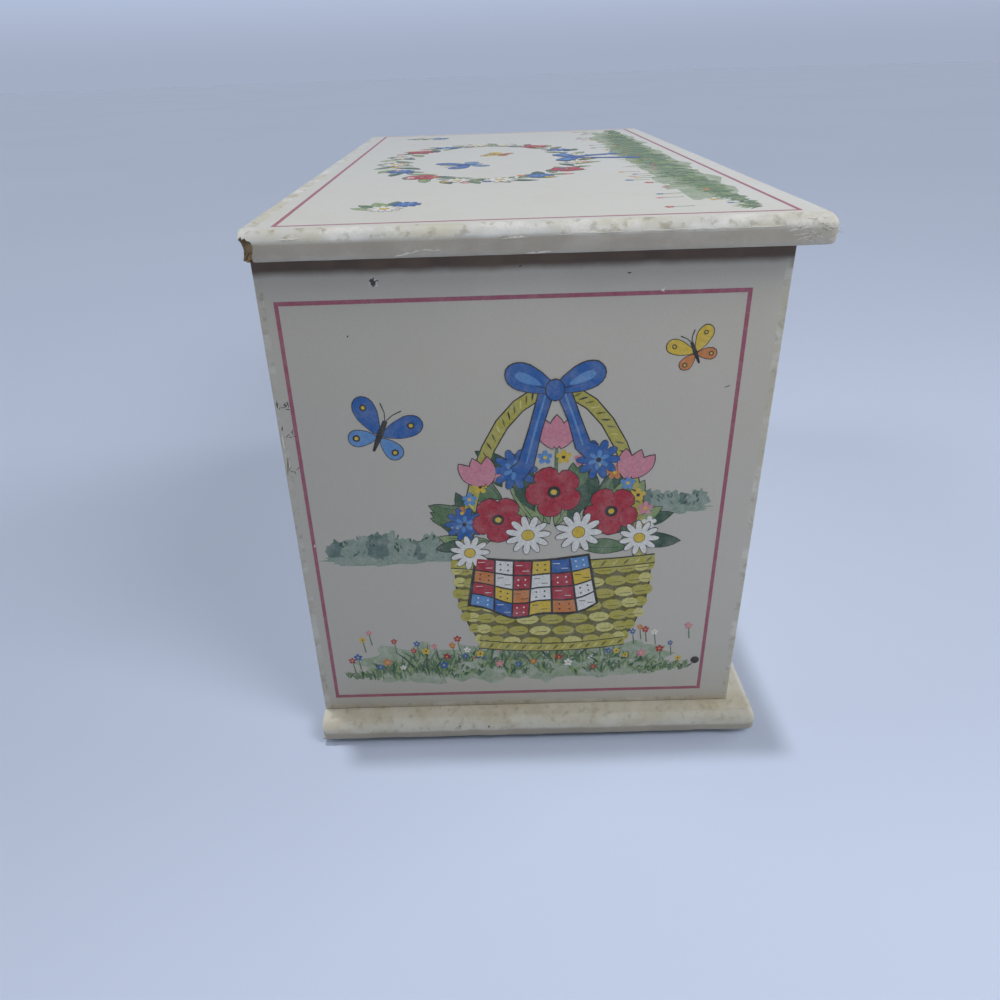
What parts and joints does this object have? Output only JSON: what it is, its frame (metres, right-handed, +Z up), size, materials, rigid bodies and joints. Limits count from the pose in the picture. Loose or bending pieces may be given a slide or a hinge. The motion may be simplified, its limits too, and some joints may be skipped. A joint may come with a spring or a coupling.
{
  "type": "musical jewelry box",
  "caption": "Oblong paper-covered box with a hinged lid, front drawers, lined compartments and a wind-up movement that turns a dancer.",
  "frame": {"origin": "on the floor plane, under the centre of the whole box with its knobs and key", "axes": "+X along the box's length to its right end, +Y to its back with the hinges and key, +Z up"},
  "size_m": [0.26, 0.154, 0.1558],
  "materials": {
    "cover_paper": "off-white satin paper glued over pressed board, pink border lines on the ends and lid",
    "edge_paper": "cream-white paper wrapped over board edges, yellowed and scuffed",
    "bare_board": "plain pressed board",
    "lined_board": "thin board lined with rose velvet paper",
    "felt": "dense felt",
    "cushion": "padded rose velvet rolls",
    "satin": "padded pink satin",
    "mirror": "silvered glass",
    "brass": "polished brass, dulled by age",
    "steel": "bright steel",
    "movement_casting": "cast light metal, satin",
    "ivory_plastic": "ivory moulded plastic",
    "dancer_plastic": "painted moulded plastic",
    "net": "stiffened pink net"
  },
  "bodies": {
    "cabinet": {"base_board": "edge_paper", "left_end_panel": "cover_paper", "right_end_panel": "cover_paper", "back_panel": "cover_paper", "front_fascia": "cover_paper", "stage_shelf": "lined_board", "drawer_shelf": "bare_board", "bay_partition": "bare_board", "foot_front_left": "felt", "foot_back_left": "felt", "foot_front_right": "felt", "foot_back_right": "felt", "left_divider": "lined_board", "right_divider": "lined_board", "cross_divider": "lined_board", "ring_roll_cushion": "cushion", "hinge_case_leaf_left": "brass", "hinge_case_leaf_right": "brass", "hinge_pin_left": "steel", "hinge_pin_right": "steel", "movement_block": "bare_board", "movement_bedplate": "movement_casting", "spring_housing": "movement_casting", "mainspring": "steel", "comb": "steel", "governor_frame": "steel"},
    "lid": {"lid_board": "cover_paper", "lid_lining": "satin", "lid_mirror": "mirror", "hinge_lid_leaf_left": "brass", "hinge_lid_leaf_right": "brass"},
    "lower_drawer": {"lower_drawer_front": "cover_paper", "lower_drawer_left_side": "bare_board", "lower_drawer_right_side": "bare_board", "lower_drawer_rear": "bare_board", "lower_drawer_bottom": "lined_board", "lower_drawer_knob_left": "brass", "lower_drawer_knob_right": "brass"},
    "upper_drawer": {"upper_drawer_front": "cover_paper", "upper_drawer_left_side": "bare_board", "upper_drawer_right_side": "bare_board", "upper_drawer_rear": "bare_board", "upper_drawer_bottom": "lined_board", "upper_drawer_knob_left": "brass", "upper_drawer_knob_right": "brass"},
    "cylinder": {"cylinder_spindle": "steel", "melody_cylinder": "brass", "cylinder_gear": "brass", "turntable": "ivory_plastic", "dancer_spring": "steel", "dancer_figure": "dancer_plastic", "dancer_skirt": "net"},
    "key": {"winding_key": "brass", "winding_arbor": "steel", "great_wheel": "brass"},
    "governor": {"governor_wheel": "brass"},
    "fly": {"governor_fly": "steel"},
    "rod": {"stop_rod": "steel"}
  },
  "joints": [
    {"name": "lid_hinge", "type": "hinge", "parent": "cabinet", "child": "lid", "pos_m": [0, 0.0629, 0.14865], "axis": [-1, 0, 0], "range_deg": [0, 100]},
    {"name": "lower_drawer_slide", "type": "slide", "parent": "cabinet", "child": "lower_drawer", "axis": [0, -1, 0], "range_m": [0, 0.065]},
    {"name": "upper_drawer_slide", "type": "slide", "parent": "cabinet", "child": "upper_drawer", "axis": [0, -1, 0], "range_m": [0, 0.065]},
    {"name": "cylinder_spin", "type": "hinge", "parent": "cabinet", "child": "cylinder", "pos_m": [0, 0.0354, 0.0646], "axis": [0, 0, 1], "continuous": true},
    {"name": "key_spin", "type": "hinge", "parent": "cabinet", "child": "key", "pos_m": [0, 0.046, 0.038], "axis": [0, -1, 0], "continuous": true},
    {"name": "governor_spin", "type": "hinge", "parent": "cabinet", "child": "governor", "pos_m": [0.0095, 0.0354, 0.0744], "axis": [0, 0, 1], "continuous": true},
    {"name": "fly_spin", "type": "hinge", "parent": "cabinet", "child": "fly", "pos_m": [0.0156, 0.0354, 0.0764], "axis": [0, -1, 0], "continuous": true},
    {"name": "stop_rod_slide", "type": "slide", "parent": "cabinet", "child": "rod", "axis": [0, 0, 1], "range_m": [0, 0.004]}
  ],
  "couplings": [
    {"joint": "key_spin", "follows": "cylinder_spin", "ratio": 0.25},
    {"joint": "governor_spin", "follows": "cylinder_spin", "ratio": -3.75},
    {"joint": "fly_spin", "follows": "cylinder_spin", "ratio": -30},
    {"joint": "stop_rod_slide", "follows": "lid_hinge", "m_per_rad": 0.00229}
  ]
}
